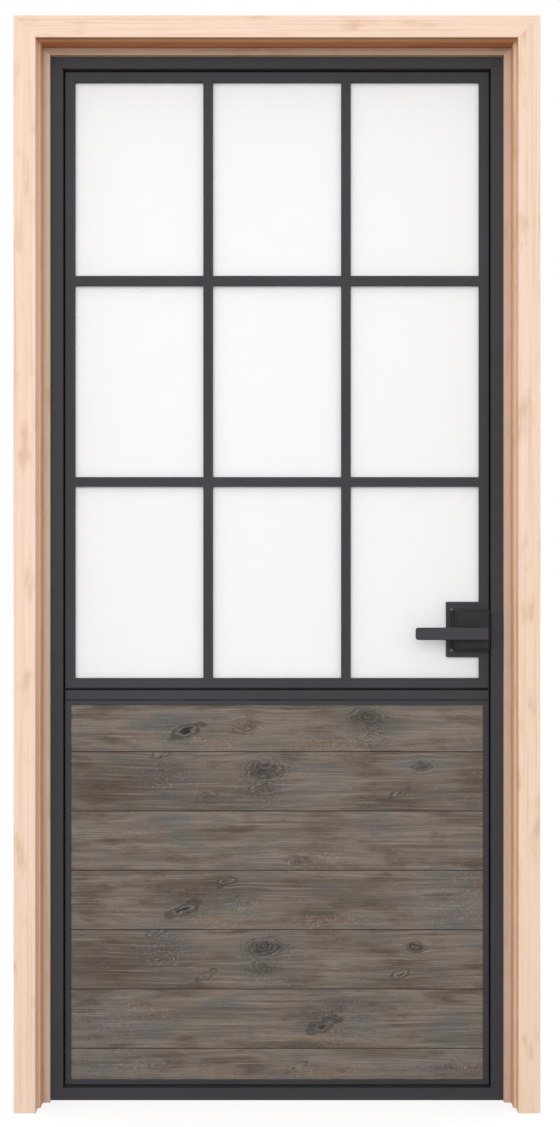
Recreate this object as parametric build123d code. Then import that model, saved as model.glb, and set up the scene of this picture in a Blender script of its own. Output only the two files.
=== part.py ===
from build123d import *
import os

# Steel and glass door in a timber casing. Millimetres, +Z up, +X to the right of someone who
# faces the lock cover, -Y towards them. The origin is on the floor, at the middle of the threshold.

# Leaf: its visible face and the gaps round it
leaf_face_width = 850.0
leaf_face_height = 2032.5
face_depth = 16.0          # from the leaf's front face to the front of its tubes
face_gap = 3.0             # shadow gap at the sides and head
foot_gap = 3.0             # shadow gap over the threshold
edge_gap = 3.0             # between the leaf's tubes and the frame's rear wall

# Fixed steel frame: an L section, closed and hollow
steel_depth = 50.0
steel_wall = 2.0
lip_face = 36.0            # width of the front lip, part of it under the timber bead
lip_depth = 22.0
rebate = 13.0              # step from the lip's edge out to the rear wall
threshold_height = 24.0
seal_space = 4.0           # between the lip's back and the leaf's tubes
seal_width = 8.0
seal_inset = 2.0           # from the lip's edge to the seal
seal_play = 0.3

# Timber: jamb lining, cover beads, front and back casings
jamb_thickness = 20.0
jamb_front_reach = 35.0    # in front of the steel
jamb_back_reach = 15.0     # behind the steel
side_packing = 2.0
head_packing = 0.5
bead_width = 14.0
bead_thickness = 11.0
casing_width = 43.2
casing_thickness = 22.0
casing_reveal = 5.1        # jamb edge left to see at the sides
casing_head_reveal = 0.7   # and at the head
casing_round = 1.5
wall_hole_radius = 3.0
wall_hole_end = 149.5      # from the floor, and from the head, to the nearest hole
wall_hole_count = 3
wall_hole_inset = 7.5      # from the jamb's back edge

# Leaf tubes
tube_width = 25.0
tube_wall = 2.0

# Glazed sash: flanged bars, panes and glazing beads
sash_face = 19.0
flange_depth = 8.0
web_thickness = 5.0
web_depth = 12.0           # behind the tubes' front plane
column_count = 3
lower_lite_height = 385.0
lower_lite_rows = 2
glass_thickness = 6.0
glass_cover = 6.0          # how far a pane runs in behind the bars
glass_bed = 1.0
glazing_bead_depth = 12.0

# Lower panel
panel_height = 771.0
panel_metal = 3.0
panel_face = 11.0
panel_rail_face = 9.0      # at the panel's foot and head
cover_joint = 1.5
sash_joint = 5.0
board_pitch = 119.3
first_board_height = 67.0
board_play = 1.0
board_v = 1.5
tongue_height = 6.0
tongue_thickness = 4.0
tongue_play = 0.3
narrowest_board = 30.0
backing_thickness = 12.0
backing_play = 0.5

# Lock
lock_over_rail = 42.5      # from the glazed opening's foot to the lock box
lever_backset = 38.0       # from the leaf's edge to the spindle
lock_rise = 5.0            # middle of the lock box over the spindle
box_width = 72.0
box_height = 110.0
box_wall = 2.0
box_play = 1.0
cover_width = 70.0
cover_height = 79.0
cover_depth = 30.0
cover_wall = 3.0
cover_bevel = 6.0
cover_inset = 1.0          # from the leaf face's edge
case_width = 91.0
case_height = 90.0
case_depth = 14.0
case_wall = 1.5
case_inset = 2.0           # from the leaf's edge, which the forend fills
case_play = 1.0
case_centre_y = 13.0
forend_height = 130.0
forend_width = 20.0
forend_play = 0.2
back_plate_width = 74.0
back_plate_height = 90.0
back_plate_thickness = 6.0
back_plate_inset = 2.0
lock_screw_radius = 2.2
lock_screw_shank = 1.5
lock_screw_length = 8.0
lock_screw_out = 4.0       # beside the cover's edge
lock_screw_rise = 1.5      # beyond the cover's top and bottom edges

# Lever set
spindle_size = 8.0
spindle_play = 0.05
follower_radius = 9.0
follower_play = 0.3
arm_width = 6.0
arm_reach = 18.0
arm_thickness = 6.0
neck_radius = 10.0
neck_play = 0.4
neck_entry = 2.6           # how far a neck goes into its plate's hole
spindle_hole_radius = 6.5
grip_height = 24.0
grip_thickness = 10.0
grip_reach = 127.4
grip_tail = 14.5
grip_edge = 1.2
grip_corner = 5.0
front_stand_off = 18.0     # from the cover to the grip
back_stand_off = 21.0      # from the back plate to the grip

# Latch and strike
latch_rise = 27.0
latch_height = 16.0
latch_thickness = 10.0
latch_throw = 9.0
latch_tail = 53.0
latch_slope = 8.5
latch_nose = 4.0
latch_play = 0.3
latch_travel = 11.1
lug_height = 8.0
lug_gap = 1.0
strike_height = 94.0
strike_thickness = 1.5
strike_slot_height = 22.0
strike_slot_play = 0.5
keep_depth = 11.0
strike_screw_radius = 2.0
strike_screw_head = 3.6
strike_screw_length = 12.0
strike_screw_spacing = 76.0

# Frame fixings
frame_screw_radius = 2.25
frame_screw_head = 4.5
frame_screw_length = 44.0
frame_screw_end = 180.0    # from the frame's foot, and from its head, to the nearest screw

# Hinges: a lower half on the frame, an upper half on the leaf, one pin
hinge_from_foot = 223.0    # from the leaf face's foot to the lowest hinge
hinge_from_head = 209.5
hinge_half = 50.0
hinge_gap = 0.5
hinge_set_back = 7.0       # axis behind the steel's back face
barrel_radius = 6.5
pin_radius = 4.0
pin_play = 0.05
pin_entry = 45.0
plate_thickness = 3.0
frame_plate_width = 20.0
leaf_plate_width = 23.0

# Planes across the depth, from the front to the back
steel_front = -steel_depth / 2
steel_back = steel_depth / 2
lip_back = steel_front + lip_depth
tube_front = lip_back + seal_space
leaf_front = tube_front - face_depth
flange_back = leaf_front + flange_depth
glass_front = flange_back + glass_bed
glass_back = glass_front + glass_thickness
jamb_front = steel_front - jamb_front_reach
jamb_back = steel_back + jamb_back_reach
cover_front = leaf_front - cover_depth
back_plate_back = steel_back + back_plate_thickness

# Half widths, from the leaf's face out
leaf_half = leaf_face_width / 2
lip_half = leaf_half + face_gap
wall_half = lip_half + rebate
tube_half = wall_half - edge_gap
tube_inner = tube_half - tube_width
steel_half = lip_half + lip_face
jamb_half = steel_half + side_packing
casing_half = jamb_half + casing_reveal
lite_half = leaf_half - sash_face
rim = leaf_half - tube_inner          # tubes' inner edge, in from the face's edge

# Heights, from the floor up
leaf_foot = threshold_height + foot_gap
leaf_head = leaf_foot + leaf_face_height
lip_head = leaf_head + face_gap
wall_foot = threshold_height - rebate
wall_head = lip_head + rebate
tube_foot = wall_foot + foot_gap
tube_head = wall_head - edge_gap
steel_head_top = lip_head + lip_face
jamb_head_foot = steel_head_top + head_packing
casing_head_foot = jamb_head_foot + casing_head_reveal
panel_top = leaf_foot + panel_height
cover_foot = panel_top + cover_joint
cover_head = cover_foot + sash_face
sash_foot = cover_head + sash_joint
lite_foot = sash_foot + sash_face
lite_head = leaf_head - sash_face
low_rail_head = leaf_foot + rim
mid_rail_foot = panel_top - rim
mid_rail_head = sash_foot + rim
top_rail_foot = leaf_head - rim

# Lock and lever places
lever_x = tube_half - lever_backset
lock_z = lite_foot + lock_over_rail + box_height / 2
lever_height = lock_z - lock_rise
latch_z = lever_height + latch_rise
box_left = tube_inner - box_width
cover_right = leaf_half - cover_inset
cover_left = cover_right - cover_width
hinge_x = -(wall_half + tube_half) / 2
hinge_y = steel_back + hinge_set_back
hinge_low = leaf_foot + hinge_from_foot
hinge_high = leaf_head - hinge_from_head
hinge_heights = (hinge_low, (hinge_low + hinge_high) / 2, hinge_high)
frame_screw_heights = (frame_screw_end, steel_head_top - frame_screw_end)
wall_hole_spacing = (jamb_head_foot - 2 * wall_hole_end) / (wall_hole_count - 1)


def block(x0, x1, y0, y1, z0, z1):
    # Rectangular block between two corners.
    centre = Pos((x0 + x1) / 2, (y0 + y1) / 2, (z0 + z1) / 2)
    return centre * Box(x1 - x0, y1 - y0, z1 - z0)


def raised(points, z0, z1):
    # Outline in plan (x, y), raised from z0 to z1.
    return Pos(0, 0, z0) * extrude(make_face(Polyline(*points, close=True)), z1 - z0)


def across(points, x0, x1):
    # Outline from the side (y, z), run from x0 to x1.
    face = Plane.YZ * make_face(Polyline(*points, close=True))
    return Pos(x0, 0, 0) * extrude(face, x1 - x0)


def through(points, y0, y1):
    # Outline from the front (x, z), run from y0 to y1.
    face = Plane.XZ * make_face(Polyline(*points, close=True))
    return Pos(0, y1, 0) * extrude(face, y1 - y0)


def rod_y(x, z, radius, y0, y1):
    return Pos(x, (y0 + y1) / 2, z) * Rot(90, 0, 0) * Cylinder(radius, y1 - y0)


def rod_x(y, z, radius, x0, x1):
    return Pos((x0 + x1) / 2, y, z) * Rot(0, 90, 0) * Cylinder(radius, x1 - x0)


def rod_z(x, y, radius, z0, z1):
    return Pos(x, y, (z0 + z1) / 2) * Cylinder(radius, z1 - z0)


def rounded(face, y_edge, radius):
    # Round the two corners of a section that lie at one end of its depth.
    if radius <= 0:
        return face
    corners = [v for v in face.vertices() if abs(v.Y - y_edge) < 0.01]
    return fillet(corners, radius)


def mitred_leg(outline, side, half, top, round_y=None, radius=0.0):
    # Upright with an outline of (distance outside the opening, y) points, mitred at its head.
    reach = max(u for u, y in outline) + 1
    plan = make_face(Polyline(*[(side * (half + u), y) for u, y in outline], close=True))
    if round_y is not None:
        plan = rounded(plan, round_y, radius)
    keep = [(side * (half - reach), -1), (side * (half + reach), -1),
            (side * (half + reach), top + reach), (side * (half - reach), top - reach)]
    ys = [y for u, y in outline]
    return extrude(plan, top + reach) & through(keep, min(ys) - 1, max(ys) + 1)


def mitred_head(outline, half, top, round_y=None, radius=0.0):
    # Head member with the same outline, mitred at both ends.
    reach = max(u for u, y in outline) + 1
    face = make_face(Polyline(*[(top + u, y) for u, y in outline], close=True))
    if round_y is not None:
        face = rounded(face, round_y, radius)
    bar = extrude(face, half + reach, both=True)
    bar = Rot(0, -90, 0) * bar
    keep = [(-half - reach, top + reach), (half + reach, top + reach),
            (half - reach, top - reach), (-half + reach, top - reach)]
    ys = [y for u, y in outline]
    return bar & through(keep, min(ys) - 1, max(ys) + 1)


def ring(half, foot, head, width, y0, y1):
    # Rectangular ring: outer edges at half, foot and head, bars of one width.
    outer = block(-half, half, y0, y1, foot, head)
    return outer - block(-half + width, half - width, y0 - 1, y1 + 1, foot + width, head - width)


def strip(u0, u1, y0, y1):
    return [(u0, y0), (u1, y0), (u1, y1), (u0, y1)]


# Timber

def casing_strip(y0, y1):
    return strip(0, casing_width, y0, y1)


def casings():
    front = casing_strip(jamb_front - casing_thickness, jamb_front)
    back = casing_strip(jamb_back, jamb_back + casing_thickness)
    parts = {}
    for name, outline, edge in (("casing", front, jamb_front - casing_thickness),
                                ("back_casing", back, jamb_back + casing_thickness)):
        place = (casing_half, casing_head_foot, edge, casing_round)
        parts[name + "_left"] = mitred_leg(outline, -1, *place)
        parts[name + "_right"] = mitred_leg(outline, 1, *place)
        parts[name + "_head"] = mitred_head(outline, *place)
    return parts


def jamb_leg(side):
    inner, outer = sorted((side * jamb_half, side * (jamb_half + jamb_thickness)))
    top = jamb_head_foot + jamb_thickness
    leg = block(inner, outer, jamb_front, jamb_back, 0, top)
    for i in range(wall_hole_count):
        z = wall_hole_end + i * wall_hole_spacing
        leg -= rod_x(jamb_back - wall_hole_inset, z, wall_hole_radius, inner - 1, outer + 1)
    for z in frame_screw_heights:
        leg -= frame_screw(side, z)
    return leg


def jamb_head():
    return block(-jamb_half, jamb_half, jamb_front, jamb_back,
                 jamb_head_foot, jamb_head_foot + jamb_thickness)


def cover_beads():
    outline = strip(0, bead_width, steel_front - bead_thickness, steel_front)
    place = (jamb_half - bead_width, jamb_head_foot - bead_width)
    return {"cover_bead_left": mitred_leg(outline, -1, *place),
            "cover_bead_right": mitred_leg(outline, 1, *place),
            "cover_bead_head": mitred_head(outline, *place)}


# Fixed steel frame

def steel_outline(wall):
    # L section, taken in by a wall thickness for the hollow.
    return [(wall, steel_front + wall), (lip_face - wall, steel_front + wall),
            (lip_face - wall, steel_back - wall), (rebate + wall, steel_back - wall),
            (rebate + wall, lip_back - wall), (wall, lip_back - wall)]


def steel_leg(side):
    leg = mitred_leg(steel_outline(0), side, lip_half, lip_head)
    leg -= mitred_leg(steel_outline(steel_wall), side, lip_half, lip_head)
    for z in frame_screw_heights:
        leg -= frame_screw(side, z)
    return leg


def steel_leg_right():
    leg = steel_leg(1)
    leg -= strike_slot(wall_half - 1, wall_half + keep_depth)
    for z in strike_screw_places():
        leg -= strike_screw(z)
    return leg


def steel_head():
    head = mitred_head(steel_outline(0), lip_half, lip_head)
    return head - mitred_head(steel_outline(steel_wall), lip_half, lip_head)


def threshold_outline(wall):
    return [(steel_front + wall, wall), (steel_back - wall, wall),
            (steel_back - wall, wall_foot - wall), (lip_back - wall, wall_foot - wall),
            (lip_back - wall, threshold_height - wall), (steel_front + wall, threshold_height - wall)]


def threshold():
    bar = across(threshold_outline(0), -lip_half, lip_half)
    bar -= across(threshold_outline(steel_wall), -lip_half - 1, lip_half + 1)
    for side in (-1, 1):
        x0, x1 = sorted((side * lip_half, side * wall_half))
        bar += block(x0, x1, lip_back, steel_back, 0, wall_foot)
    return bar


def seal():
    half = lip_half + seal_inset + seal_width
    foot = threshold_height - seal_inset - seal_width
    head = lip_head + seal_inset + seal_width
    return ring(half, foot, head, seal_width, lip_back, tube_front - seal_play)


def frame_screw(side, z):
    # Countersunk screw through the steel into the jamb.
    y = case_centre_y
    shank = rod_x(y, z, frame_screw_radius, wall_half, wall_half + frame_screw_length)
    slope = frame_screw_head - frame_screw_radius
    cone = Pos(wall_half + slope / 2, y, z) * Rot(0, 90, 0) * Cone(
        frame_screw_head, frame_screw_radius, slope)
    screw = shank + cone
    return screw if side > 0 else mirror(screw, about=Plane.YZ)


def frame_screws():
    return [frame_screw(side, z) for side in (-1, 1) for z in frame_screw_heights]


# Strike

def strike_slot(x0, x1):
    # The keep is open towards the back, the side the leaf swings to.
    y0 = case_centre_y - latch_thickness / 2 - strike_slot_play
    half = strike_slot_height / 2
    return block(x0, x1, y0, steel_back + 1, latch_z - half, latch_z + half)


def strike_screw_places():
    return (latch_z - strike_screw_spacing / 2, latch_z + strike_screw_spacing / 2)


def strike_screw(z):
    x0 = wall_half - strike_thickness
    shank = rod_x(case_centre_y, z, strike_screw_radius, x0, x0 + strike_screw_length)
    slope = strike_screw_head - strike_screw_radius
    cone = Pos(x0 + slope / 2, case_centre_y, z) * Rot(0, 90, 0) * Cone(
        strike_screw_head, strike_screw_radius, slope)
    return shank + cone


def strike_plate():
    half = strike_height / 2
    plate = block(wall_half - strike_thickness, wall_half, tube_front, steel_back,
                  latch_z - half, latch_z + half)
    plate -= strike_slot(wall_half - strike_thickness - 1, wall_half + 1)
    for z in strike_screw_places():
        plate -= strike_screw(z)
    return plate


# Leaf tubes

def stile(side):
    x0, x1 = sorted((side * tube_inner, side * tube_half))
    outer = block(x0, x1, tube_front, steel_back, tube_foot, tube_head)
    return outer - block(x0 + tube_wall, x1 - tube_wall, tube_front + tube_wall,
                         steel_back - tube_wall, tube_foot + tube_wall, tube_head - tube_wall)


def stile_right():
    tube = stile(1)
    half = case_height / 2 + case_play
    depth = case_depth / 2 + case_play
    tube -= block(tube_inner - 1, tube_half + 1, case_centre_y - depth, case_centre_y + depth,
                  lever_height - half, lever_height + half)
    tube -= forend_block(forend_play, 1)
    return tube


def rail(foot, head):
    outer = block(-tube_inner, tube_inner, tube_front, steel_back, foot, head)
    return outer - block(-tube_inner - 1, tube_inner + 1, tube_front + tube_wall,
                         steel_back - tube_wall, foot + tube_wall, head - tube_wall)


# Glazed sash

def lite_edges():
    # Left, right, foot and head of each lite, rows from the top.
    width = (2 * lite_half - (column_count - 1) * sash_face) / column_count
    feet = [lite_foot + i * (lower_lite_height + sash_face) for i in range(lower_lite_rows + 1)]
    heads = [foot + lower_lite_height for foot in feet[:-1]] + [lite_head]
    rows = list(zip(feet, heads))[::-1]
    columns = []
    for i in range(column_count):
        left = -lite_half + i * (width + sash_face)
        columns.append((left, left + width))
    return rows, columns


def sash_frame():
    sash = ring(leaf_half, sash_foot, leaf_head, sash_face, leaf_front, flange_back)
    sash += ring(leaf_half, sash_foot, leaf_head, rim, flange_back, tube_front)
    rows, columns = lite_edges()
    web_back = tube_front + web_depth
    for left, right in columns[:-1]:
        middle = right + sash_face / 2
        sash += block(right, right + sash_face, leaf_front, flange_back, lite_foot, lite_head)
        sash += block(middle - web_thickness / 2, middle + web_thickness / 2,
                      flange_back, web_back, mid_rail_head, top_rail_foot)
    for foot, head in rows[1:]:
        middle = head + sash_face / 2
        sash += block(-lite_half, lite_half, leaf_front, flange_back, head, head + sash_face)
        sash += block(-tube_inner, tube_inner, flange_back, web_back,
                      middle - web_thickness / 2, middle + web_thickness / 2)
    return sash


def box_space(play):
    # Room for the lock box in a pane or glazing bead.
    half = box_height / 2 + play
    return block(box_left - play, tube_inner + 1, leaf_front, steel_back, lock_z - half, lock_z + half)


def holds_lock(left, right, foot, head):
    return left < box_left < right and foot < lock_z < head


def panes():
    rows, columns = lite_edges()
    parts = {}
    for r, (foot, head) in enumerate(rows):
        for c, (left, right) in enumerate(columns):
            pane = block(left - glass_cover, right + glass_cover, glass_front, glass_back,
                         foot - glass_cover, head + glass_cover)
            if holds_lock(left, right, foot, head):
                pane -= box_space(box_play)
            parts["glass_row%d_col%d" % (r + 1, c + 1)] = pane
    return parts


def glazing_beads():
    rows, columns = lite_edges()
    side = sash_face - rim
    bar = (sash_face - web_thickness) / 2
    back = glass_back + glazing_bead_depth
    beads = []
    for r, (foot, head) in enumerate(rows):
        for c, (left, right) in enumerate(columns):
            x0 = left - (side if c == 0 else bar)
            x1 = right + (side if c == len(columns) - 1 else bar)
            z0 = foot - (side if r == len(rows) - 1 else bar)
            z1 = head + (side if r == 0 else bar)
            bead = block(x0, x1, glass_back, back, z0, z1)
            bead -= block(left, right, glass_back - 1, back + 1, foot, head)
            if holds_lock(left, right, foot, head):
                bead -= box_space(box_play)
            beads.append(bead)
    return beads


# Lower panel

def mid_rail_cover():
    bar = block(-leaf_half, leaf_half, leaf_front, tube_front, cover_foot, cover_head)
    return bar - block(-leaf_half + tube_wall, leaf_half - tube_wall, leaf_front + tube_wall,
                       tube_front - tube_wall, cover_foot + tube_wall, cover_head - tube_wall)


def panel_frame():
    # Face plate with a margin round the boards, on a thin rim that reaches back to the tubes.
    face_back = leaf_front + panel_metal
    face = block(-leaf_half, leaf_half, leaf_front, face_back, leaf_foot, panel_top)
    face -= block(-leaf_half + panel_face, leaf_half - panel_face, leaf_front - 1, face_back + 1,
                  leaf_foot + panel_rail_face, panel_top - panel_rail_face)
    return face + ring(leaf_half, leaf_foot, panel_top, panel_metal, leaf_front, tube_front)


def board(foot, head, with_groove, with_tongue):
    # One horizontal plank: V edges in front, groove below and tongue above where it meets another.
    front = leaf_front + panel_metal
    middle = (front + tube_front) / 2
    lower = board_v if with_groove else 0
    upper = board_v if with_tongue else 0
    outline = [(tube_front, foot), (tube_front, head)]
    if with_tongue:
        half = tongue_thickness / 2
        outline += [(middle + half, head), (middle + half, head + tongue_height),
                    (middle - half, head + tongue_height), (middle - half, head)]
        outline += [(front + upper, head), (front, head - upper)]
    else:
        outline += [(front, head)]
    if with_groove:
        outline += [(front, foot + lower), (front + lower, foot)]
        half = tongue_thickness / 2 + tongue_play
        depth = tongue_height + tongue_play
        outline += [(middle - half, foot), (middle - half, foot + depth),
                    (middle + half, foot + depth), (middle + half, foot)]
    else:
        outline += [(front, foot)]
    half = leaf_half - panel_metal - board_play
    return across(outline, -half, half)


def boards():
    foot = leaf_foot + panel_metal + board_play
    top = panel_top - panel_metal - board_play
    edges = [foot]
    seam = foot + first_board_height
    while seam < top - narrowest_board:
        edges.append(seam)
        seam += board_pitch
    edges.append(top)
    parts = {}
    last = len(edges) - 2
    for i in range(last + 1):
        parts["plank_%d" % (i + 1)] = board(edges[i], edges[i + 1], i > 0, i < last)
    return parts


def panel_backing():
    half = tube_inner - backing_play
    return block(-half, half, tube_front, tube_front + backing_thickness,
                 low_rail_head + backing_play, mid_rail_foot - backing_play)


# Lock

def lock_box():
    half = box_height / 2
    z0, z1 = lock_z - half, lock_z + half
    box = block(box_left, lite_half, leaf_front, flange_back, z0, z1)
    box += block(box_left, tube_inner, flange_back, steel_back, z0, z1)
    box -= block(box_left + box_wall, tube_inner - box_wall, flange_back, steel_back - box_wall,
                 z0 + box_wall, z1 - box_wall)
    box -= block(box_left + box_wall, lite_half - box_wall, leaf_front + box_wall, flange_back,
                 z0 + box_wall, z1 - box_wall)
    case_half = case_height / 2 + case_play
    depth = case_depth / 2 + case_play
    box -= block(tube_inner - box_wall - 1, tube_inner + 1, case_centre_y - depth,
                 case_centre_y + depth, lever_height - case_half, lever_height + case_half)
    box -= rod_y(lever_x, lever_height, spindle_hole_radius, leaf_front - 1, steel_back + 1)
    for screw in lock_screws():
        box -= screw
    return box


def lock_cover():
    z0, z1 = lock_z - cover_height / 2, lock_z + cover_height / 2
    shell = block(cover_left, cover_right, cover_front, leaf_front, z0, z1)
    rim_edges = shell.faces().sort_by(Axis.Y)[0].edges()
    shell = chamfer(rim_edges, min(cover_bevel, cover_depth / 2))
    hollow_front = cover_front + cover_bevel
    hollow = block(cover_left + cover_wall, cover_right - cover_wall, hollow_front, leaf_front + 1,
                   z0 + cover_wall, z1 - cover_wall)
    inset = cover_bevel
    hollow += block(cover_left + inset, cover_right - inset, cover_front + cover_wall, hollow_front,
                    z0 + inset, z1 - inset)
    shell -= hollow
    return shell - rod_y(lever_x, lever_height, neck_radius + neck_play, cover_front - 1, leaf_front)


def lock_screws():
    x = cover_left - lock_screw_out
    reach = cover_height / 2 + lock_screw_rise
    screws = []
    for z in (lock_z - reach, lock_z + reach):
        head = rod_y(x, z, lock_screw_radius, leaf_front - lock_screw_radius / 2, leaf_front)
        screws.append(head + rod_y(x, z, lock_screw_shank, leaf_front,
                                   leaf_front + lock_screw_length))
    return screws


def forend_block(play, out):
    half = forend_width / 2 + play
    tall = forend_height / 2 + play
    return block(tube_half - case_inset, tube_half + out, case_centre_y - half,
                 case_centre_y + half, lever_height - tall, lever_height + tall)


def lock_body():
    half = case_height / 2
    depth = case_depth / 2
    right = tube_half - case_inset
    case = block(right - case_width, right, case_centre_y - depth, case_centre_y + depth,
                 lever_height - half, lever_height + half)
    case += forend_block(0, 0)
    inner = depth - case_wall
    tail = tube_half - latch_tail
    case -= block(tail - latch_travel - latch_play, lever_x + arm_width + neck_play,
                  case_centre_y - inner, case_centre_y + inner,
                  lever_height, latch_z + latch_height / 2 + latch_play)
    bolt_half = latch_thickness / 2 + latch_play
    bolt_tall = latch_height / 2 + latch_play
    case -= block(tail, tube_half + 1, case_centre_y - bolt_half, case_centre_y + bolt_half,
                  latch_z - bolt_tall, latch_z + bolt_tall)
    return case - rod_y(lever_x, lever_height, follower_radius + follower_play,
                        case_centre_y - depth - 1, case_centre_y + depth + 1)


def back_plate():
    half = back_plate_height / 2
    right = tube_half - back_plate_inset
    plate = block(right - back_plate_width, right, steel_back, back_plate_back,
                  lock_z - half, lock_z + half)
    plate = chamfer(plate.faces().sort_by(Axis.Y)[-1].edges(), back_plate_thickness / 4)
    return plate - rod_y(lever_x, lever_height, neck_radius + neck_play,
                         steel_back - 1, back_plate_back + 1)


# Lever set

def square_y(x, z, size, y0, y1):
    return block(x - size / 2, x + size / 2, y0, y1, z - size / 2, z + size / 2)


def front_grip_back():
    return cover_front - front_stand_off


def back_grip_front():
    return back_plate_back + back_stand_off


def spindle():
    return square_y(lever_x, lever_height, spindle_size, front_grip_back(), back_grip_front())


def follower():
    depth = case_depth / 2
    hub = rod_y(lever_x, lever_height, follower_radius, case_centre_y - depth, case_centre_y + depth)
    hub += block(lever_x - arm_width / 2, lever_x + arm_width / 2,
                 case_centre_y - arm_thickness / 2, case_centre_y + arm_thickness / 2,
                 lever_height, lever_height + arm_reach)
    return hub - square_y(lever_x, lever_height, spindle_size + 2 * spindle_play,
                          case_centre_y - depth - 1, case_centre_y + depth + 1)


def grip(y0, y1):
    # Flat bar with round corners at the tip, on the left, and a square end on the right.
    bar = block(lever_x - grip_reach, lever_x + grip_tail, y0, y1,
                lever_height - grip_height / 2, lever_height + grip_height / 2)
    tip_edges = bar.faces().sort_by(Axis.X)[0].edges().filter_by(Axis.Y)
    return fillet(tip_edges, grip_corner)


def lever(inner, outer, neck_end, socket_end):
    # Grip from its inner to its outer face, on a neck with a square socket for the spindle.
    bar = grip(*sorted((inner, outer)))
    face = [f for f in bar.faces() if abs(f.center().Y - outer) < 0.01][0]
    bar = chamfer(face.edges(), grip_edge)
    bar += rod_y(lever_x, lever_height, neck_radius, *sorted((inner, neck_end)))
    return bar - square_y(lever_x, lever_height, spindle_size + 2 * spindle_play,
                          *sorted((inner, socket_end)))


def lever_front():
    inner = front_grip_back()
    neck_end = cover_front + neck_entry
    return lever(inner, inner - grip_thickness, neck_end, neck_end + 1)


def lever_back():
    inner = back_grip_front()
    neck_end = back_plate_back - neck_entry
    return lever(inner, inner + grip_thickness, neck_end, neck_end - 1)


def latch_bolt():
    # Bolt with its slope towards the closing side, and a lug that the follower's arm pushes.
    y0 = case_centre_y - latch_thickness / 2
    y1 = case_centre_y + latch_thickness / 2
    left = tube_half - latch_tail
    nose = tube_half + latch_throw
    plan = [(left, y0), (nose - latch_slope, y0), (nose, y1 - latch_nose), (nose, y1), (left, y1)]
    foot = latch_z - latch_height / 2
    bolt = raised(plan, foot, foot + latch_height)
    return bolt + block(left, lever_x - arm_width / 2 - lug_gap, y0, y1, foot - lug_height, foot)


# Hinges

def hinge_frame_half(z):
    foot = z - hinge_half - hinge_gap / 2
    head = z - hinge_gap / 2
    half = rod_z(hinge_x, hinge_y, barrel_radius, foot, head)
    half += block(-wall_half - frame_plate_width, -wall_half, steel_back,
                  steel_back + plate_thickness, foot, head)
    return half - rod_z(hinge_x, hinge_y, pin_radius, foot - 1, head + 1)


def hinge_leaf_half(z):
    foot = z + hinge_gap / 2
    head = z + hinge_gap / 2 + hinge_half
    half = rod_z(hinge_x, hinge_y, barrel_radius, foot, head)
    half += block(-tube_half, -tube_half + leaf_plate_width, steel_back,
                  steel_back + plate_thickness, foot, head)
    return half - rod_z(hinge_x, hinge_y, pin_radius + pin_play, foot - 1, foot + pin_entry + hinge_gap)


def hinge_pin(z):
    return rod_z(hinge_x, hinge_y, pin_radius, z - hinge_half - hinge_gap / 2, z + pin_entry)


def build():
    parts = {}
    parts.update(casings())
    parts["jamb_left"] = jamb_leg(-1)
    parts["jamb_right"] = jamb_leg(1)
    parts["jamb_head"] = jamb_head()
    parts.update(cover_beads())
    parts["steel_leg_left"] = steel_leg(-1)
    parts["steel_leg_right"] = steel_leg_right()
    parts["steel_head"] = steel_head()
    parts["threshold"] = threshold()
    parts["door_seal"] = seal()
    parts["strike_plate"] = strike_plate()
    parts["strike_screws"] = [strike_screw(z) for z in strike_screw_places()]
    parts["frame_screws"] = frame_screws()
    parts["hinge_frame_halves"] = [hinge_frame_half(z) for z in hinge_heights]
    parts["hinge_pins"] = [hinge_pin(z) for z in hinge_heights]
    parts["hinge_leaf_halves"] = [hinge_leaf_half(z) for z in hinge_heights]
    parts["leaf_stile_left"] = stile(-1)
    parts["leaf_stile_right"] = stile_right()
    parts["leaf_rail_top"] = rail(top_rail_foot, tube_head)
    parts["leaf_rail_middle"] = rail(mid_rail_foot, mid_rail_head)
    parts["leaf_rail_bottom"] = rail(tube_foot, low_rail_head)
    parts["sash_frame"] = sash_frame()
    parts.update(panes())
    parts["glazing_beads"] = glazing_beads()
    parts["mid_rail_cover"] = mid_rail_cover()
    parts["panel_frame"] = panel_frame()
    parts.update(boards())
    parts["panel_backing"] = panel_backing()
    parts["lock_box"] = lock_box()
    parts["lock_cover"] = lock_cover()
    parts["lock_screws"] = lock_screws()
    parts["lock_body"] = lock_body()
    parts["back_plate"] = back_plate()
    parts["lever_front"] = lever_front()
    parts["lever_back"] = lever_back()
    parts["spindle"] = spindle()
    parts["follower"] = follower()
    parts["latch_bolt"] = latch_bolt()
    return parts


def write(name, shape):
    pieces = shape if isinstance(shape, list) else [shape]
    solids = [solid for piece in pieces for solid in piece.solids()]
    whole = solids[0] if len(solids) == 1 else Compound(children=solids)
    export_step(whole, "parts/%s.step" % name)


os.makedirs("parts", exist_ok=True)
for name, shape in build().items():
    write(name, shape)
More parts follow.
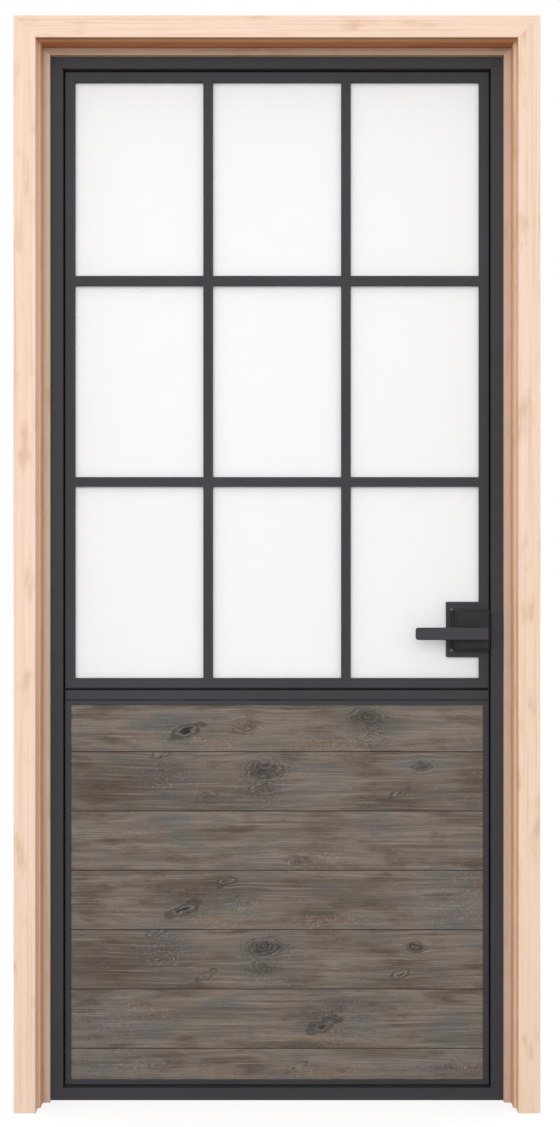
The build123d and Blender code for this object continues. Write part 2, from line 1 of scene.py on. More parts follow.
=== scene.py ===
import bpy
import math
import numpy as np
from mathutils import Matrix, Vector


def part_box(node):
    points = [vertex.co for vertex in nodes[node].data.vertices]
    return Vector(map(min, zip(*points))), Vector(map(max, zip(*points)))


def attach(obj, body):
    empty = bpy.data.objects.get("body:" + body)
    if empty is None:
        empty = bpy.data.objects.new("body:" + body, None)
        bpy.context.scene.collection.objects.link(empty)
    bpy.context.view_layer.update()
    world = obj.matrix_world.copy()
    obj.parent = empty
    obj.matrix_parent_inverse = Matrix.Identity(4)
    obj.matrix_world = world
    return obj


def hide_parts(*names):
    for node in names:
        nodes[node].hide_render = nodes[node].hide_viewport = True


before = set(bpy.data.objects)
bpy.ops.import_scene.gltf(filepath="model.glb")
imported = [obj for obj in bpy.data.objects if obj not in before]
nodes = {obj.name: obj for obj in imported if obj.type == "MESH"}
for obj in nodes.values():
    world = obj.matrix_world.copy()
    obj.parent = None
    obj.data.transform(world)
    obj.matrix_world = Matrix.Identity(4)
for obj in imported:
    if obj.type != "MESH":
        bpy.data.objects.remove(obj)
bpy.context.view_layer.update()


# Wires: shader sockets with arithmetic

class Wire:
    # Wraps one output socket. a + b, a - b, a * b and abs(a) each add a Math node.
    def __init__(self, tree, socket=None):
        self.tree = tree
        self.socket = socket

    def make(self, kind, settings=None, inputs=None, output=0):
        # Any node: its settings first, then values or wires for its inputs by name or number.
        node = self.tree.nodes.new(kind)
        for key, value in (settings or {}).items():
            setattr(node, key, value)
        for key, value in (inputs or {}).items():
            if isinstance(value, Wire):
                self.tree.links.new(value.socket, node.inputs[key])
            else:
                node.inputs[key].default_value = value
        return Wire(self.tree, node.outputs[output] if len(node.outputs) else None)

    def math(self, operation, *others):
        values = dict(enumerate((self,) + others))
        return self.make("ShaderNodeMath", {"operation": operation}, values)

    def __add__(self, other):
        return self.math("ADD", other)

    def __sub__(self, other):
        return self.math("SUBTRACT", other)

    def __mul__(self, other):
        return self.math("MULTIPLY", other)

    def __abs__(self):
        return self.math("ABSOLUTE")

    def larger(self, other):
        return self.math("MAXIMUM", other)

    def between(self, low, high):
        # Smooth step of this value: 0 at low, 1 at high. It falls where low is the larger one.
        return self.make("ShaderNodeMapRange", {"interpolation_type": "SMOOTHSTEP"},
                         {0: self, 1: low, 2: high})

    def vector(self, x, y, z):
        return self.make("ShaderNodeCombineXYZ", None, {0: x, 1: y, 2: z})

    def field(self, name):
        # A value stored at each point of a piece's mesh. Output 2 is the plain number.
        return self.make("ShaderNodeAttribute", {"attribute_name": name}, None, 2)

    def noise(self, where, scale, detail, rough):
        return self.make("ShaderNodeTexNoise", None,
                         {"Vector": where, "Scale": scale, "Detail": detail, "Roughness": rough})

    def stretched(self, parts, shift, scales, detail, rough):
        # Noise over three values, each times its own scale and moved by its own shift.
        ends = [part * scale for part, scale in zip(parts, scales)]
        ends = [end + move if move else end for end, move in zip(ends, shift)]
        return self.noise(self.vector(*ends), 1.0, detail, rough)

    def blendColor(self, amount, first, second, how="MIX"):
        # Inputs 6 and 7 of a Mix node are its colours, output 2 is the blend of them.
        settings = {"data_type": "RGBA", "blend_type": how}
        return self.make("ShaderNodeMix", settings, {0: amount, 6: first, 7: second}, 2)

    def coats(self, color, rows, layers, tones):
        # Colours laid over one another. Row: noise, the values it grows between, strength, tone.
        for layer, low, high, strength, tone in rows:
            amount = layers[layer].between(low, high) * strength
            color = self.blendColor(amount, color, tones[tone])
        return color

    def bump(self, height, strength, distance):
        return self.make("ShaderNodeBump", None,
                         {"Strength": strength, "Distance": distance, "Height": height})


def srgb(red, green, blue):
    # Colour written as 0 to 255 screen values, turned into linear light.
    def linear(value):
        value /= 255
        return value / 12.92 if value <= 0.04045 else ((value + 0.055) / 1.055) ** 2.4
    return (linear(red), linear(green), linear(blue), 1.0)


def newMaterial(name):
    material = bpy.data.materials.new(name)
    material.use_nodes = True
    material.node_tree.nodes.clear()
    return material, Wire(material.node_tree)


def finishMaterial(material, wire, inputs):
    shader = wire.make("ShaderNodeBsdfPrincipled", None, inputs)
    wire.make("ShaderNodeOutputMaterial", None, {"Surface": shader})
    return material


def objectPoint(wire):
    return wire.make("ShaderNodeTexCoord", None, None, "Object")


def objectAxes(wire):
    point = objectPoint(wire)
    return [wire.make("ShaderNodeSeparateXYZ", None, {0: point}, axis) for axis in range(3)]


def paint(names, material):
    for name in names:
        piece = nodes[name]
        if not len(piece.material_slots):
            piece.data.materials.append(material)
        for materialSlot in piece.material_slots:
            materialSlot.material = material


# Camera: at the photograph's distance, height and focal length
view = {"place": (0.006, -2.382, 1.073), "lens": 37.66, "sensor": 36.0}


def addCamera():
    data = bpy.data.cameras.new("camera")
    data.sensor_width = view["sensor"]
    data.lens = view["lens"]
    camera = bpy.data.objects.new("camera", data)
    camera.location = view["place"]
    camera.rotation_euler = (math.pi / 2, 0, 0)
    bpy.context.scene.collection.objects.link(camera)
    bpy.context.scene.camera = camera


# Studio: an even sky, a broad lamp in front and above, a floor that looks white but lights little
studio = {
    "keyPlace": (-1.2, -7.6, 2.9), "keySize": (3.6, 3.2), "keyPower": 200.0,
    "keyAim": (0, 0, 0.8), "sky": 0.99,
    "floorSize": 40.0, "floorTone": 0.42, "floorRough": 0.9, "floorLift": 0.68,
}


def addKeyLamp():
    # A lamp shines down its -Z: tilted up from there to the gaze, then turned about Z to it.
    data = bpy.data.lights.new("keyLamp", "AREA")
    data.shape = "RECTANGLE"
    data.size, data.size_y = studio["keySize"]
    data.energy = studio["keyPower"]
    lamp = bpy.data.objects.new("keyLamp", data)
    place = np.array(studio["keyPlace"])
    gaze = np.array(studio["keyAim"]) - place
    lamp.location = place
    flat = math.hypot(gaze[0], gaze[1])
    lamp.rotation_euler = (math.atan2(flat, -gaze[2]), 0, math.atan2(-gaze[0], gaze[1]))
    bpy.context.scene.collection.objects.link(lamp)


def seenDirectly(wire):
    # 1 for rays that show a background: from the camera, off gloss, or through glass.
    camera, gloss, through = [
        wire.make("ShaderNodeLightPath", None, None, name)
        for name in ("Is Camera Ray", "Is Glossy Ray", "Is Transmission Ray")]
    return camera.larger(gloss.larger(through))


def addSky():
    world = bpy.data.worlds.new("sky")
    world.use_nodes = True
    world.node_tree.nodes.clear()
    wire = Wire(world.node_tree)
    # Full white where it is seen, a little less where it lights.
    strength = seenDirectly(wire) * (1 - studio["sky"]) + studio["sky"]
    light = wire.make("ShaderNodeBackground", None, {"Color": (1, 1, 1, 1), "Strength": strength})
    wire.make("ShaderNodeOutputWorld", None, {"Surface": light})
    bpy.context.scene.world = world


def addFloor():
    half = studio["floorSize"] / 2
    mesh = bpy.data.meshes.new("floor")
    corners = [(-half, -half, 0), (half, -half, 0), (half, half, 0), (-half, half, 0)]
    mesh.from_pydata(corners, [], [(0, 1, 2, 3)])
    floor = bpy.data.objects.new("floor", mesh)
    bpy.context.scene.collection.objects.link(floor)
    material, wire = newMaterial("floorWhite")
    tone = studio["floorTone"]
    # It glows only for rays that show a background, so the glow adds no diffuse light.
    glow = wire.blendColor(seenDirectly(wire), (0, 0, 0, 1), (1, 1, 1, 1))
    finishMaterial(material, wire, {
        "Base Color": (tone, tone, tone, 1), "Roughness": studio["floorRough"],
        "Specular IOR Level": 0.0,
        "Emission Color": glow, "Emission Strength": studio["floorLift"]})
    mesh.materials.append(material)


addCamera()
addKeyLamp()
addSky()
addFloor()
print("camera, lamp, sky and floor are in place")


# Pale timber: long soft streaks of pink and cream, tan clouds, fine pores
timber = {
    "pink": srgb(248, 217, 200), "cream": srgb(243, 214, 189),
    "tan": srgb(224, 188, 158), "dark": srgb(204, 164, 130),
    # Each noise: scales along the grain, across it and in depth, then detail and roughness
    "bend": ((1.6, 3.0, 0.0), 2.0, 0.5), "broad": ((1.1, 70, 18), 2.0, 0.5),
    "streak": ((2.4, 260, 60), 3.0, 0.5), "cloud": ((11.0, 34, 9), 3.0, 0.5),
    "pores": ((40, 1500, 900), 2.0, 0.5),
    # How far the streaks bend aside, and how much they slant from front to back
    "bendReach": 0.012, "slant": 0.73,
    "coats": (
        ("broad", 0.38, 0.62, 1.0, "cream"), ("streak", 0.48, 0.72, 0.55, "tan"),
        ("cloud", 0.54, 0.72, 0.55, "tan"), ("cloud", 0.64, 0.78, 0.3, "dark"),
        ("pores", 0.62, 0.75, 0.18, "dark")),
    # Painted shade for the reveals, soffit, beads, head bead, the part towards the bead and the
    # head casing's underside, and a plain tone for the casing; all multiply the colour
    "casing": (0.95, 0.95, 0.94, 1), "bead": (0.66, 0.64, 0.61, 1),
    "headBeadShade": (0.52, 0.49, 0.43, 1), "revealShade": (0.84, 0.71, 0.58, 1),
    "soffitShade": (0.58, 0.30, 0.17, 1), "shadeTowardsBead": (0.70, 0.64, 0.59, 1),
    "undersideShade": (0.30, 0.15, 0.09, 1), "underBackShade": (0.78, 0.50, 0.33, 1),
    # Fades of the painted shade, in metres past an edge: where it is nil, then where it is full
    "revealShadeFade": (0.0075, 0.0055), "soffitShadeFade": (0.0015, 0.0008),
    "underFade": (0.0009, 0.0002), "frontFade": (0.0008, 0.002),
    # From the underside's dark painted shade to its lighter one, and how deep the painted shade
    # towards the bead reaches
    "backFade": (0.001, 0.012), "shadedDepth": 0.012,
    "rough": 0.55, "poreRough": 0.12, "shine": 0.3, "bump": (0.25, 0.0004),
}


def inOpening(axes, stain):
    # Jambs take their painted shade only where the opening shows them, within a few mm of the
    # inner face.
    if stain == "revealShade":
        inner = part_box("jamb_right")[0][0]
        return abs(axes[0]).between(*[inner + past for past in timber["revealShadeFade"]])
    # The soffit's painted shade, up to the bead.
    if stain == "soffitShade":
        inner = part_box("cover_bead_head")[1][2]
        return axes[2].between(*[inner + past for past in timber["soffitShadeFade"]])
    return 1.0


def headUndersideShade(wire, axes, color):
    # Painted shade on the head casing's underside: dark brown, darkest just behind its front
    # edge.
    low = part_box("casing_head")[0]
    under = axes[2].between(*[low[2] + past for past in timber["underFade"]])
    under = under * axes[1].between(*[low[1] + past for past in timber["frontFade"]])
    back = axes[1].between(*[low[1] + past for past in timber["backFade"]])
    brown = wire.blendColor(back, timber["undersideShade"], timber["underBackShade"])
    return wire.blendColor(under, color, brown, "MULTIPLY")


def timberMaterial(name, along, seed, stain):
    # Grain runs along one axis: streaks are noise that is stretched on that axis.
    material, wire = newMaterial(name)
    axes = objectAxes(wire)
    grain = axes[along]
    side, depth = [axes[i] for i in (2, 0, 1) if i != along]
    bend = wire.stretched((grain, side, depth), (0, 0, seed), *timber["bend"])
    parts = (grain, side + depth * timber["slant"] + bend * timber["bendReach"], depth)
    shifts = {"broad": (seed, 0, 0), "streak": (seed, 0, 0), "cloud": (0, 0, seed),
              "pores": (0, 0, 0)}
    layers = {key: wire.stretched(parts, shift, *timber[key]) for key, shift in shifts.items()}
    color = wire.coats(timber["pink"], timber["coats"], layers, timber)
    # Painted shade on the reveals, soffit and beads, a plain tone on the casing: either
    # multiplies the colour.
    covered = inOpening(axes, stain)
    toneAndShade = wire.blendColor(1.0, color, timber[stain], "MULTIPLY")
    color = wire.blendColor(covered, color, toneAndShade)
    # The head casing gets painted shade on its underside.
    if stain == "casing" and along == 0:
        color = headUndersideShade(wire, axes, color)
    if stain in ("soffitShade", "revealShade"):
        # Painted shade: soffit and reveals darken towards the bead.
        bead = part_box("cover_bead_head")[0][1]
        shadeTowardsBead = axes[1].between(bead - timber["shadedDepth"], bead) * covered
        color = wire.blendColor(shadeTowardsBead, color, timber["shadeTowardsBead"], "MULTIPLY")
    pores, streak = layers["pores"], layers["streak"]
    return finishMaterial(material, wire, {
        "Base Color": color, "Roughness": pores * timber["poreRough"] + timber["rough"],
        "Specular IOR Level": timber["shine"],
        "Normal": wire.bump(pores + streak, *timber["bump"])})


# Dark coated steel: two close greys, a fine orange-peel skin, softened edges
steel = {
    "outer": (srgb(59, 58, 63), srgb(55, 56, 59)), "leaf": (srgb(60, 59, 64), srgb(55, 56, 59)),
    "lever": (srgb(60, 59, 63), srgb(55, 56, 58)), "cover": (srgb(46, 47, 49), srgb(41, 43, 44)),
    "screw": (srgb(122, 122, 124), srgb(104, 104, 107)), "joint": srgb(28, 28, 30),
    # Each noise: its scale, or its scales on x, y and z, then detail and roughness
    "cloud": ((2.2, 8, 1.8), 2.0, 0.5), "skin": (1100.0, 2.0, 0.6), "smear": (14.0, 4.0, 0.6),
    "cloudRange": (0.35, 0.65), "edge": 0.0008, "edgeSamples": 4,
    # The joint line, the gap beside the lock cover in painted shade: where it fades out aside,
    # how softly it ends, how far inside the screws
    "jointFade": (0.00168, 0.00072), "jointEnd": 0.001, "jointInset": 0.004,
    "rough": 0.6, "smearRough": 0.14, "shine": 0.2, "bump": (0.25, 0.0002),
}


def steelMaterial(name, tones, seed, joint=None):
    # Joint: x, lower z and upper z of a dark line, the gap beside the lock cover in painted
    # shade.
    material, wire = newMaterial(name)
    point, axes = objectPoint(wire), objectAxes(wire)
    cloud = wire.stretched(axes, (seed, 0, 0), *steel["cloud"])
    color = wire.blendColor(cloud.between(*steel["cloudRange"]), *tones)
    if joint:
        # Painted shade: a dark line down the gap beside the lock cover.
        middle, low, high = joint
        dark = abs(axes[0] - middle).between(*steel["jointFade"])
        dark = dark * axes[2].between(low, low + steel["jointEnd"])
        dark = dark * axes[2].between(high, high - steel["jointEnd"])
        color = wire.blendColor(dark, color, steel["joint"])
    soft = wire.make("ShaderNodeBevel", {"samples": steel["edgeSamples"]},
                     {"Radius": steel["edge"]})
    strength, distance = steel["bump"]
    normal = wire.make("ShaderNodeBump", None, {
        "Strength": strength, "Distance": distance,
        "Height": wire.noise(point, *steel["skin"]), "Normal": soft})
    # Smears vary the roughness to both sides of its middle.
    smear = wire.noise(point, *steel["smear"]) * steel["smearRough"]
    return finishMaterial(material, wire, {
        "Base Color": color, "Roughness": smear + (steel["rough"] - steel["smearRough"] / 2),
        "Specular IOR Level": steel["shine"], "Normal": normal})


# Glass: lightly frosted, so that it is white inside and still takes the bars' soft shadow
glass = {
    "tone": (0.985, 0.99, 0.99, 1.0), "clear": 0.2, "ior": 1.45,
    "coat": 0.08, "coatRough": 0.45, "ripple": (9.0, 2.0, 0.5), "rippleRough": 0.06, "rough": 0.5,
}


def glassMaterial():
    material, wire = newMaterial("frostedGlass")
    ripple = wire.noise(objectPoint(wire), *glass["ripple"])
    return finishMaterial(material, wire, {
        "Base Color": glass["tone"], "Roughness": ripple * glass["rippleRough"] + glass["rough"],
        "Transmission Weight": glass["clear"], "IOR": glass["ior"],
        "Coat Weight": glass["coat"], "Coat Roughness": glass["coatRough"]})


# Zinc: brushed along X, with clouds of a darker, bluish grey
zinc = {
    "light": srgb(150, 150, 152), "dark": srgb(118, 120, 125),
    "brush": ((60, 1800, 1800), 2.0, 0.5), "cloud": (60.0, 3.0, 0.5),
    "cloudRange": (0.35, 0.65), "rough": 0.4, "brushRough": 0.16, "bump": (0.15, 0.0001),
}


def zincMaterial():
    material, wire = newMaterial("zincPlate")
    brush = wire.stretched(objectAxes(wire), (0, 0, 0), *zinc["brush"])
    cloud = wire.noise(objectPoint(wire), *zinc["cloud"])
    color = wire.blendColor(cloud.between(*zinc["cloudRange"]), zinc["light"], zinc["dark"])
    return finishMaterial(material, wire, {
        "Base Color": color, "Metallic": 1.0,
        "Roughness": brush * zinc["brushRough"] + zinc["rough"],
        "Normal": wire.bump(brush, *zinc["bump"])})


# Rubber: matt black with a fine moulded skin
rubber = {
    "tone": srgb(52, 52, 56), "worn": srgb(64, 64, 67), "wornRange": (0.45, 0.7),
    "skin": (700.0, 3.0, 0.5), "rough": 0.7, "skinRough": 0.1, "shine": 0.2,
    "bump": (0.2, 0.0002),
}


def rubberMaterial():
    material, wire = newMaterial("blackRubber")
    skin = wire.noise(objectPoint(wire), *rubber["skin"])
    color = wire.blendColor(skin.between(*rubber["wornRange"]), rubber["tone"], rubber["worn"])
    return finishMaterial(material, wire, {
        "Base Color": color, "Roughness": skin * rubber["skinRough"] + rubber["rough"],
        "Specular IOR Level": rubber["shine"], "Normal": wire.bump(skin, *rubber["bump"])})


paint(["casing_left", "back_casing_left"], timberMaterial("casingLeft", 2, 0.0, "casing"))
paint(["casing_right", "back_casing_right"], timberMaterial("casingRight", 2, 8.3, "casing"))
paint(["casing_head", "back_casing_head"], timberMaterial("casingHead", 0, 4.7, "casing"))
# The jambs, soffit and beads carry painted shade; the casings only a plain tone.
paint(["jamb_left", "jamb_right"], timberMaterial("jambSides", 2, 2.9, "revealShade"))
paint(["jamb_head"], timberMaterial("jambHead", 0, 6.1, "soffitShade"))
paint(["cover_bead_left", "cover_bead_right"], timberMaterial("beadSides", 2, 11.5, "bead"))
paint(["cover_bead_head"], timberMaterial("beadHead", 0, 13.8, "headBeadShade"))
paint(["steel_leg_left", "steel_leg_right", "steel_head", "threshold"],
      steelMaterial("frameSteel", steel["outer"], 0.0))
paint(["leaf_stile_left", "leaf_stile_right", "leaf_rail_top", "leaf_rail_middle",
       "leaf_rail_bottom", "sash_frame", "mid_rail_cover", "panel_frame",
       "glazing_beads", "hinge_frame_halves", "hinge_leaf_halves"],
      steelMaterial("leafSteel", steel["leaf"], 3.1))
# Between its screws the lock box takes a line of painted shade, the gap beside the cover.
screwLow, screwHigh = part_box("lock_screws")
coverGapShade = ((screwLow[0] + screwHigh[0]) / 2,
        screwLow[2] + steel["jointInset"], screwHigh[2] - steel["jointInset"])
paint(["lock_box"], steelMaterial("lockSteel", steel["leaf"], 3.1, coverGapShade))
paint(["lever_front", "lever_back"], steelMaterial("leverSteel", steel["lever"], 6.4))
paint(["lock_cover", "back_plate"], steelMaterial("coverSteel", steel["cover"], 9.2))
paint([name for name in nodes if name.startswith("glass_")], glassMaterial())
paint(["lock_screws"], steelMaterial("screwSteel", steel["screw"], 1.7))
paint(["strike_plate", "strike_screws", "frame_screws", "lock_body", "latch_bolt", "follower",
       "spindle", "hinge_pins"], zincMaterial())
paint(["door_seal"], rubberMaterial())
print("timber, steel, glass, zinc and rubber are painted")


# Boards: weathered grey-brown planks, with V edges, and grain in relief that runs round the knots
board = {
    "count": 7, "front": -0.012, "back": 0.001, "vEdge": 0.0015,
    "tongueHeight": 0.006, "tongueHalf": 0.002, "tonguePlay": 0.0003,
    "alongStep": 0.0022, "acrossStep": 0.002, "relief": 0.00035, "knotSink": 0.0003,
    "sharpAngle": 35, "lattice": 64,
    # Every third board has the same noise shift
    "repeat": 3, "shift": 0.37,
    # Relief noises: scale and start along x, scale upwards, seed, share in the relief
    "ripples": ((9, 5, 190, 11, 0.6), (24, 0, 430, 12, 0.4)),
    # Uneven outlines and wandering grain: scale and start along x, scale upwards, seed, reach
    "unevenX": (70, 0, 110, 21, 0.016), "unevenZ": (60, 3, 150, 22, 0.009),
    "wander": (5, 0, 24, 23, 0.007),
    # A plain knot's slant, where shade and rings are nil and full, and waves past the ring count
    "lean": 0.35, "knotFade": (1.9, 0.3), "ringFade": (3.2, 0.8), "ringExtra": 0.7,
    "brown": srgb(127, 116, 106), "dull": srgb(106, 96, 87), "pale": srgb(158, 149, 139),
    "shade": srgb(79, 69, 61), "blue": srgb(96, 97, 96), "warm": srgb(132, 104, 86),
    # The last of these colours is painted shade for the V grooves.
    "knot": srgb(44, 41, 39), "joint": srgb(38, 33, 29),
    # Colour noises: height they follow, start, scales on x, y and that height, detail, roughness
    "noises": {
        "broad": ("line", (0, 0, 0), (3.5, 12, 75), 3.0, 0.55),
        "streak": ("line", (0, 0, 0), (7, 30, 440), 4.0, 0.65),
        "fine": ("line", (0, 0, 0), (45, 90, 1000), 3.0, 0.5),
        "cloud": ("both", (3, 0, 0), (7, 4, 8), 5.0, 0.6),
        "patch": ("line", (9, 0, 5), (6, 4, 22), 2.0, 0.5),
        "fleck": ("line", (0, 0, 0), (95, 40, 330), 3.0, 0.6),
        "curl": ("plain", (0, 0, 0), (70, 10, 95), 2.0, 0.5)},
    "mottleRange": (0.35, 0.65), "mottleShare": 0.5,
    # Coats in the order they lie. The backing board's clouds are darkened less.
    "under": (("broad", 0.34, 0.62, 1.0, "brown"), ("cloud", 0.5, 0.64, 0.65, "blue")),
    "cloudDark": ("cloud", 0.52, 0.34, 0.7, "shade"),
    "backDark": ("cloud", 0.52, 0.34, 0.35, "shade"),
    "over": (
        ("streak", 0.5, 0.72, 0.5, "pale"), ("streak", 0.47, 0.3, 0.45, "shade"),
        ("patch", 0.56, 0.72, 0.3, "warm"), ("fine", 0.58, 0.78, 0.35, "shade"),
        ("fleck", 0.64, 0.76, 0.5, "pale")),
    # Stored fields laid on as colour: field, share of mottle, least strength, tone
    "weather": (("haze", 0.4, 0.6, "blue"), ("stain", 0.3, 0.75, "shade")),
    # The joint coat is painted shade in the V grooves.
    "knotCoat": ("knotShade", 0.45, 0.55, "knot"), "jointShadeCoat": ("joint", 0.0, 0.95, "joint"),
    # Rings: the values of their field that they grow between, strength, tone
    "rings": ((0.1, 0.9, 0.7, "knot"), (-0.3, -0.95, 0.45, "pale")),
    # Scratches: rise and fall of a noise at its middle, shares of haze and patches, strength
    "scratchRise": (0.475, 0.497), "scratchFall": (0.52, 0.5), "scratchPatch": (0.5, 0.7),
    "scratchHaze": 0.8, "scratchShare": 0.5, "scratch": 0.8,
    "rough": 0.7, "fineRough": 0.15, "shine": 0.15, "fineBump": 0.5, "bump": (0.35, 0.0004),
}

# Each knot: x, z, half length, half height, how dark, and how many rings it has
knots = (
    (-0.182, 0.737, 0.024, 0.008, 0.95, 0), (-0.159, 0.753, 0.007, 0.003, 0.5, 0),
    (-0.187, 0.378, 0.024, 0.008, 0.95, 0), (-0.167, 0.398, 0.007, 0.003, 0.3, 0),
    (0.092, 0.144, 0.024, 0.008, 0.95, 0), (0.117, 0.172, 0.007, 0.003, 0.4, 0),
    (-0.062, 0.747, 0.018, 0.012, 0.15, 3), (-0.068, 0.388, 0.018, 0.012, 0.15, 3),
    (-0.026, 0.657, 0.026, 0.013, 0.75, 2), (-0.026, 0.619, 0.020, 0.009, 0.35, 2),
    (-0.026, 0.301, 0.026, 0.013, 0.75, 2), (-0.032, 0.257, 0.020, 0.009, 0.35, 2),
    (0.183, 0.765, 0.026, 0.013, 0.75, 2), (0.191, 0.725, 0.020, 0.009, 0.35, 2),
    (0.291, 0.663, 0.015, 0.009, 0.85, 1), (0.279, 0.301, 0.015, 0.009, 0.85, 1),
    (0.040, 0.472, 0.016, 0.011, 0.55, 2),
    (-0.231, 0.691, 0.016, 0.006, 0.4, 0), (-0.241, 0.331, 0.016, 0.006, 0.4, 0),
    (-0.105, 0.432, 0.014, 0.005, 0.35, 0), (-0.145, 0.243, 0.014, 0.005, 0.35, 0),
    (-0.141, 0.605, 0.014, 0.005, 0.35, 0), (0.251, 0.613, 0.014, 0.006, 0.4, 0),
    (0.245, 0.249, 0.014, 0.006, 0.4, 0), (-0.239, 0.066, 0.014, 0.005, 0.35, 0),
    (0.038, 0.060, 0.014, 0.005, 0.35, 0),
)

# Weathered patches: x, z, half width, half height, how blue-grey, how brown
patches = (
    (-0.225, 0.650, 0.045, 0.050, 0.8, 0.2), (-0.225, 0.295, 0.045, 0.050, 0.8, 0.2),
    (-0.185, 0.735, 0.060, 0.030, 0.5, 0.4), (-0.185, 0.385, 0.060, 0.035, 0.4, 0.5),
    (-0.015, 0.645, 0.050, 0.050, 0.8, 0.5), (-0.015, 0.285, 0.050, 0.050, 0.8, 0.5),
    (0.185, 0.745, 0.055, 0.035, 0.6, 0.5), (0.125, 0.160, 0.075, 0.035, 0.7, 0.3),
    (-0.330, 0.150, 0.090, 0.050, 0.5, 0.0), (-0.330, 0.065, 0.080, 0.030, 0.7, 0.0),
    (0.350, 0.060, 0.090, 0.030, 0.6, 0.0), (0.360, 0.400, 0.060, 0.050, 0.7, 0.0),
    (-0.340, 0.630, 0.130, 0.055, 0.0, 0.9), (-0.340, 0.270, 0.130, 0.055, 0.0, 0.9),
    (-0.120, 0.425, 0.110, 0.030, 0.0, 0.8), (0.270, 0.610, 0.110, 0.035, 0.1, 0.6),
    (0.260, 0.250, 0.110, 0.035, 0.1, 0.5), (0.120, 0.395, 0.120, 0.040, 0.1, 0.4),
    (0.400, 0.640, 0.040, 0.060, 0.0, 0.7), (-0.100, 0.590, 0.090, 0.020, 0.2, 0.5),
)


def smoothStep(low, high, value):
    part = np.clip((value - low) / (high - low), 0, 1)
    return part * part * (3 - 2 * part)


def softNoise(x, up, scaleX, startX, scaleUp, seed):
    # Value noise: random numbers on a lattice, blended between its points with a smooth step.
    size = board["lattice"]
    table = np.random.default_rng(seed).random((size, size))
    u, v = x * scaleX + startX, up * scaleUp
    column, row = np.floor(u).astype(int), np.floor(v).astype(int)
    right, over = smoothStep(0, 1, u - column), smoothStep(0, 1, v - row)

    def level(row):
        left = table[column % size, row % size] * (1 - right)
        return left + table[(column + 1) % size, row % size] * right

    return level(row) * (1 - over) + level(row + 1) * over


def sway(x, z, key):
    # Noise to both sides of zero, by half its reach at most.
    *row, reach = board[key]
    return (softNoise(x, z, *row) - 0.5) * reach


def grainFields(x, z, foot, head, shift):
    # Grain line: height over the board's foot, pressed apart round each knot as water round a
    # stone. Knot shade: 1 inside a knot. Knot ring: a cosine of the distance from its middle.
    # Haze and stain: bell shapes round the weathered patches. Noise makes all of them uneven.
    line, shade, ring = z - foot, np.zeros_like(z), np.zeros_like(z)
    haze, stain = np.zeros_like(z), np.zeros_like(z)
    unevenX, unevenZ = x + sway(x, z, "unevenX"), z + sway(x, z, "unevenZ")
    for knotX, knotZ, halfX, halfZ, dark, rings in knots:
        if not foot < knotZ < head:
            continue
        away = np.hypot((x - knotX) / halfX, (z - knotZ) / halfZ)
        line = line - (z - knotZ) / np.maximum(away, 1.0) ** 2
        lean = 0 if rings else board["lean"]
        rise = unevenZ - knotZ - lean * (x - knotX)
        away = np.hypot((unevenX - knotX) / halfX, rise / halfZ)
        shade = np.maximum(shade, dark * smoothStep(*board["knotFade"], away))
        wave = np.cos(2 * np.pi * (rings + board["ringExtra"]) * away)
        ring += wave * smoothStep(*board["ringFade"], away)
    for patchX, patchZ, halfX, halfZ, blue, brown in patches:
        if foot < patchZ < head:
            bell = np.exp(-((unevenX - patchX) / halfX) ** 2 - ((unevenZ - patchZ) / halfZ) ** 2)
            haze, stain = haze + blue * bell, stain + brown * bell
    line = line + shift + sway(x, z, "wander")
    return line, shade, ring, haze, stain


def boardOutline(foot, head, grooved, tongued):
    # Section in y and z: up the front, over the tongue, down the back, round the groove.
    front, back, v = board["front"], board["back"], board["vEdge"]
    middle, half = (front + back) / 2, board["tongueHalf"]
    low, high = foot + v * grooved, head - v * tongued
    rows = np.linspace(low, high, max(2, int((high - low) / board["acrossStep"])))
    points = [(front + v, foot)] if grooved else []
    points += [(front, row) for row in rows]
    if tongued:
        top = head + board["tongueHeight"]
        points += [(front + v, head), (middle - half, head), (middle - half, top)]
        points += [(middle + half, top), (middle + half, head)]
    points += [(back, head), (back, foot)]
    if grooved:
        half += board["tonguePlay"]
        deep = foot + board["tongueHeight"] + board["tonguePlay"]
        points += [(middle + half, foot), (middle + half, deep)]
        points += [(middle - half, deep), (middle - half, foot)]
    return np.array(points)


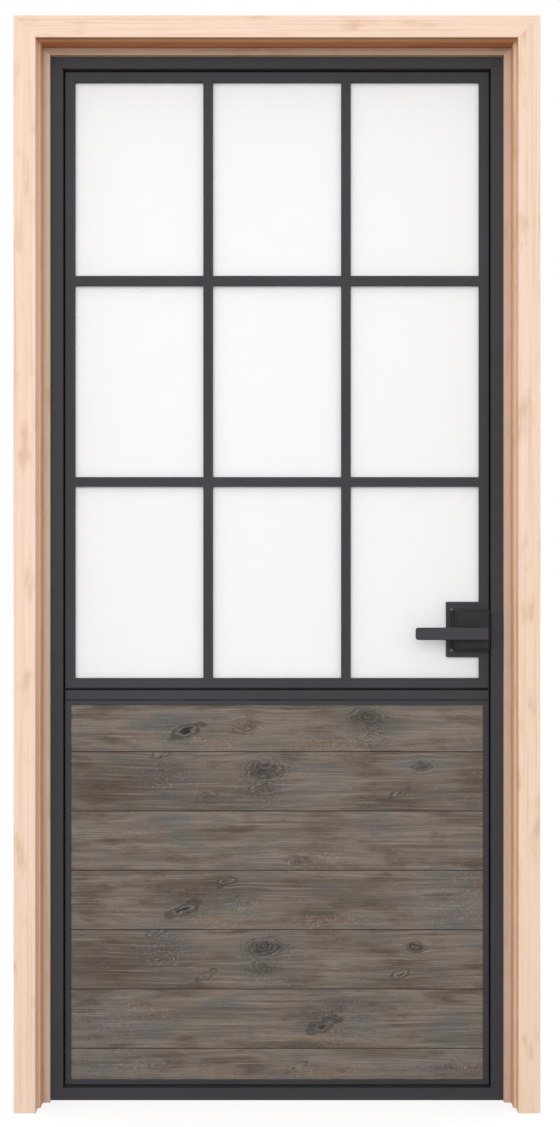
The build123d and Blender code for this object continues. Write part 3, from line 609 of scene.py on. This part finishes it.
def makeBoard(number, foot, head, ends):
    # The section carried along x. Its front sinks by noise that follows the grain, and at knots.
    outline = boardOutline(foot, head, number > 1, number < board["count"])
    along = np.linspace(ends[0], ends[1], int((ends[1] - ends[0]) / board["alongStep"]))
    x, y = np.meshgrid(along, outline[:, 0], indexing="ij")
    z = np.broadcast_to(outline[:, 1], x.shape)
    turn = (number - 1) % board["repeat"]
    fields = grainFields(x, z, foot, head, turn * board["shift"])
    line, shade = fields[0], fields[1]
    ripple = sum(softNoise(x, line, *row) * share for *row, share in board["ripples"])
    sink = ripple * board["relief"] + shade * board["knotSink"]
    # All of the section but its flat front counts as joint, and there painted shade darkens the V
    # grooves.
    inJoint = np.where(y == board["front"], 0.0, 1.0)
    y = y + sink * (1 - inJoint)
    # Four-sided faces from each station to the next, and one face over either end.
    index = np.arange(x.size).reshape(x.shape)
    after = np.roll(index, -1, axis=1)
    quads = np.stack([index[:-1], index[1:], after[1:], after[:-1]], axis=-1).reshape(-1, 4)
    faces = quads.tolist() + [index[0].tolist(), index[-1][::-1].tolist()]
    mesh = bpy.data.meshes.new("board%d" % number)
    mesh.from_pydata(np.stack([x, y, z], axis=-1).reshape(-1, 3).tolist(), [], faces)
    names = ("grainLine", "knotShade", "knotRing", "haze", "stain", "joint")
    for name, values in zip(names, fields + (inJoint,)):
        mesh.attributes.new(name, "FLOAT", "POINT").data.foreach_set("value", values.ravel())
    mesh.shade_smooth()
    mesh.set_sharp_from_angle(angle=math.radians(board["sharpAngle"]))
    piece = bpy.data.objects.new("board%d" % number, mesh)
    bpy.context.scene.collection.objects.link(piece)
    return piece


def fieldCoat(wire, color, mottle, field, share, least, tone):
    # A stored field as colour, stronger where the wood is mottled.
    return wire.blendColor(wire.field(field) * (mottle * share + least), color, board[tone])


def scratches(wire, color, layers):
    # Thin lines where a noise crosses its middle value, most of them near patches.
    curl, patch = layers["curl"], layers["patch"]
    line = curl.between(*board["scratchRise"]) * curl.between(*board["scratchFall"])
    near = (wire.field("haze") * board["scratchHaze"]
            + patch.between(*board["scratchPatch"]) * board["scratchShare"])
    return wire.blendColor(line * near * board["scratch"], color, board["pale"])


def boardMaterial(name, stored):
    # Streaks, clouds and pores along the grain line, which is plain height where none is stored.
    material, wire = newMaterial(name)
    x, y, z = objectAxes(wire)
    line = wire.field("grainLine") if stored else z
    heights = {"line": line, "plain": z, "both": z * 2 + line}
    layers = {key: wire.stretched((x, y, heights[height]), *row)
              for key, (height, *row) in board["noises"].items()}
    fine, streak = layers["fine"], layers["streak"]
    mottle = (layers["fleck"].between(*board["mottleRange"]) * board["mottleShare"]
              + streak.between(*board["mottleRange"]) * board["mottleShare"])
    color = wire.coats(board["dull"], board["under"], layers, board)
    dark = board["cloudDark" if stored else "backDark"]
    color = wire.coats(color, [dark], layers, board)
    if stored:
        for row in board["weather"]:
            color = fieldCoat(wire, color, mottle, *row)
    color = wire.coats(color, board["over"], layers, board)
    if stored:
        color = scratches(wire, color, layers)
        color = fieldCoat(wire, color, mottle, *board["knotCoat"])
        ring = wire.field("knotRing")
        for low, high, strength, tone in board["rings"]:
            amount = ring.between(low, high) * mottle * strength
            color = wire.blendColor(amount, color, board[tone])
        # Painted shade in the V grooves.
        color = fieldCoat(wire, color, mottle, *board["jointShadeCoat"])
    return finishMaterial(material, wire, {
        "Base Color": color, "Roughness": fine * board["fineRough"] + board["rough"],
        "Specular IOR Level": board["shine"],
        "Normal": wire.bump(streak + fine * board["fineBump"], *board["bump"])})


paint(["panel_backing"], boardMaterial("backingBoard", False))
weathered = boardMaterial("weatheredBoard", True)
boxes = [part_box("plank_%d" % (i + 1)) for i in range(board["count"])]
feet = [low[2] for low, high in boxes] + [boxes[-1][1][2]]
for i, (low, high) in enumerate(boxes):
    plankPiece = makeBoard(i + 1, feet[i], feet[i + 1], (low[0], high[0]))
    plankPiece.data.materials.append(weathered)
    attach(plankPiece, "leaf")
    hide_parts("plank_%d" % (i + 1))
print("boards are carved and painted")

bpy.context.scene.view_settings.view_transform = "Standard"
